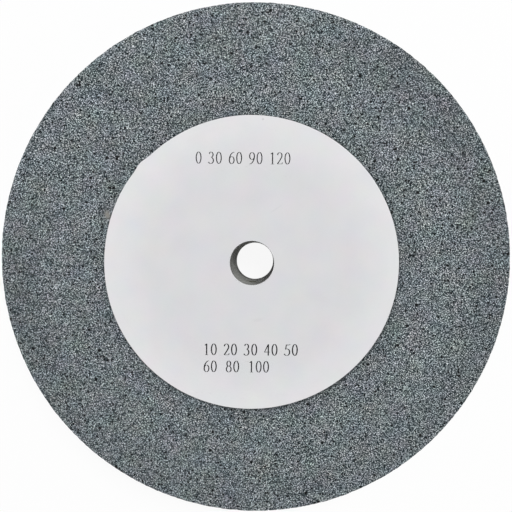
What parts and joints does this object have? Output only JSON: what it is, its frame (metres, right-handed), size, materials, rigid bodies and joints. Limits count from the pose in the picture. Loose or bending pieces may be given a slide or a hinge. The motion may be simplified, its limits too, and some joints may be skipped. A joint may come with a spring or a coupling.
{
  "type": "grinding wheel",
  "caption": "Flat, straight-sided grinding wheel of coarse grey abrasive, with a round central bore and a pale paper blotter pasted on each side.",
  "frame": {"origin": "on the bore's axis, in the outer face of the rear blotter, on which the wheel lies", "axes": "+Z along the bore's axis, out of the printed side; +Y towards the upper row of figures; +X to the right of it"},
  "size_m": [0.2, 0.2, 0.0264],
  "materials": {
    "grey_abrasive": "matte",
    "blotter_paper": "matte"
  },
  "bodies": {
    "root": {"abrasive_wheel": "grey_abrasive", "front_blotter": "blotter_paper", "rear_blotter": "blotter_paper"}
  },
  "joints": []
}
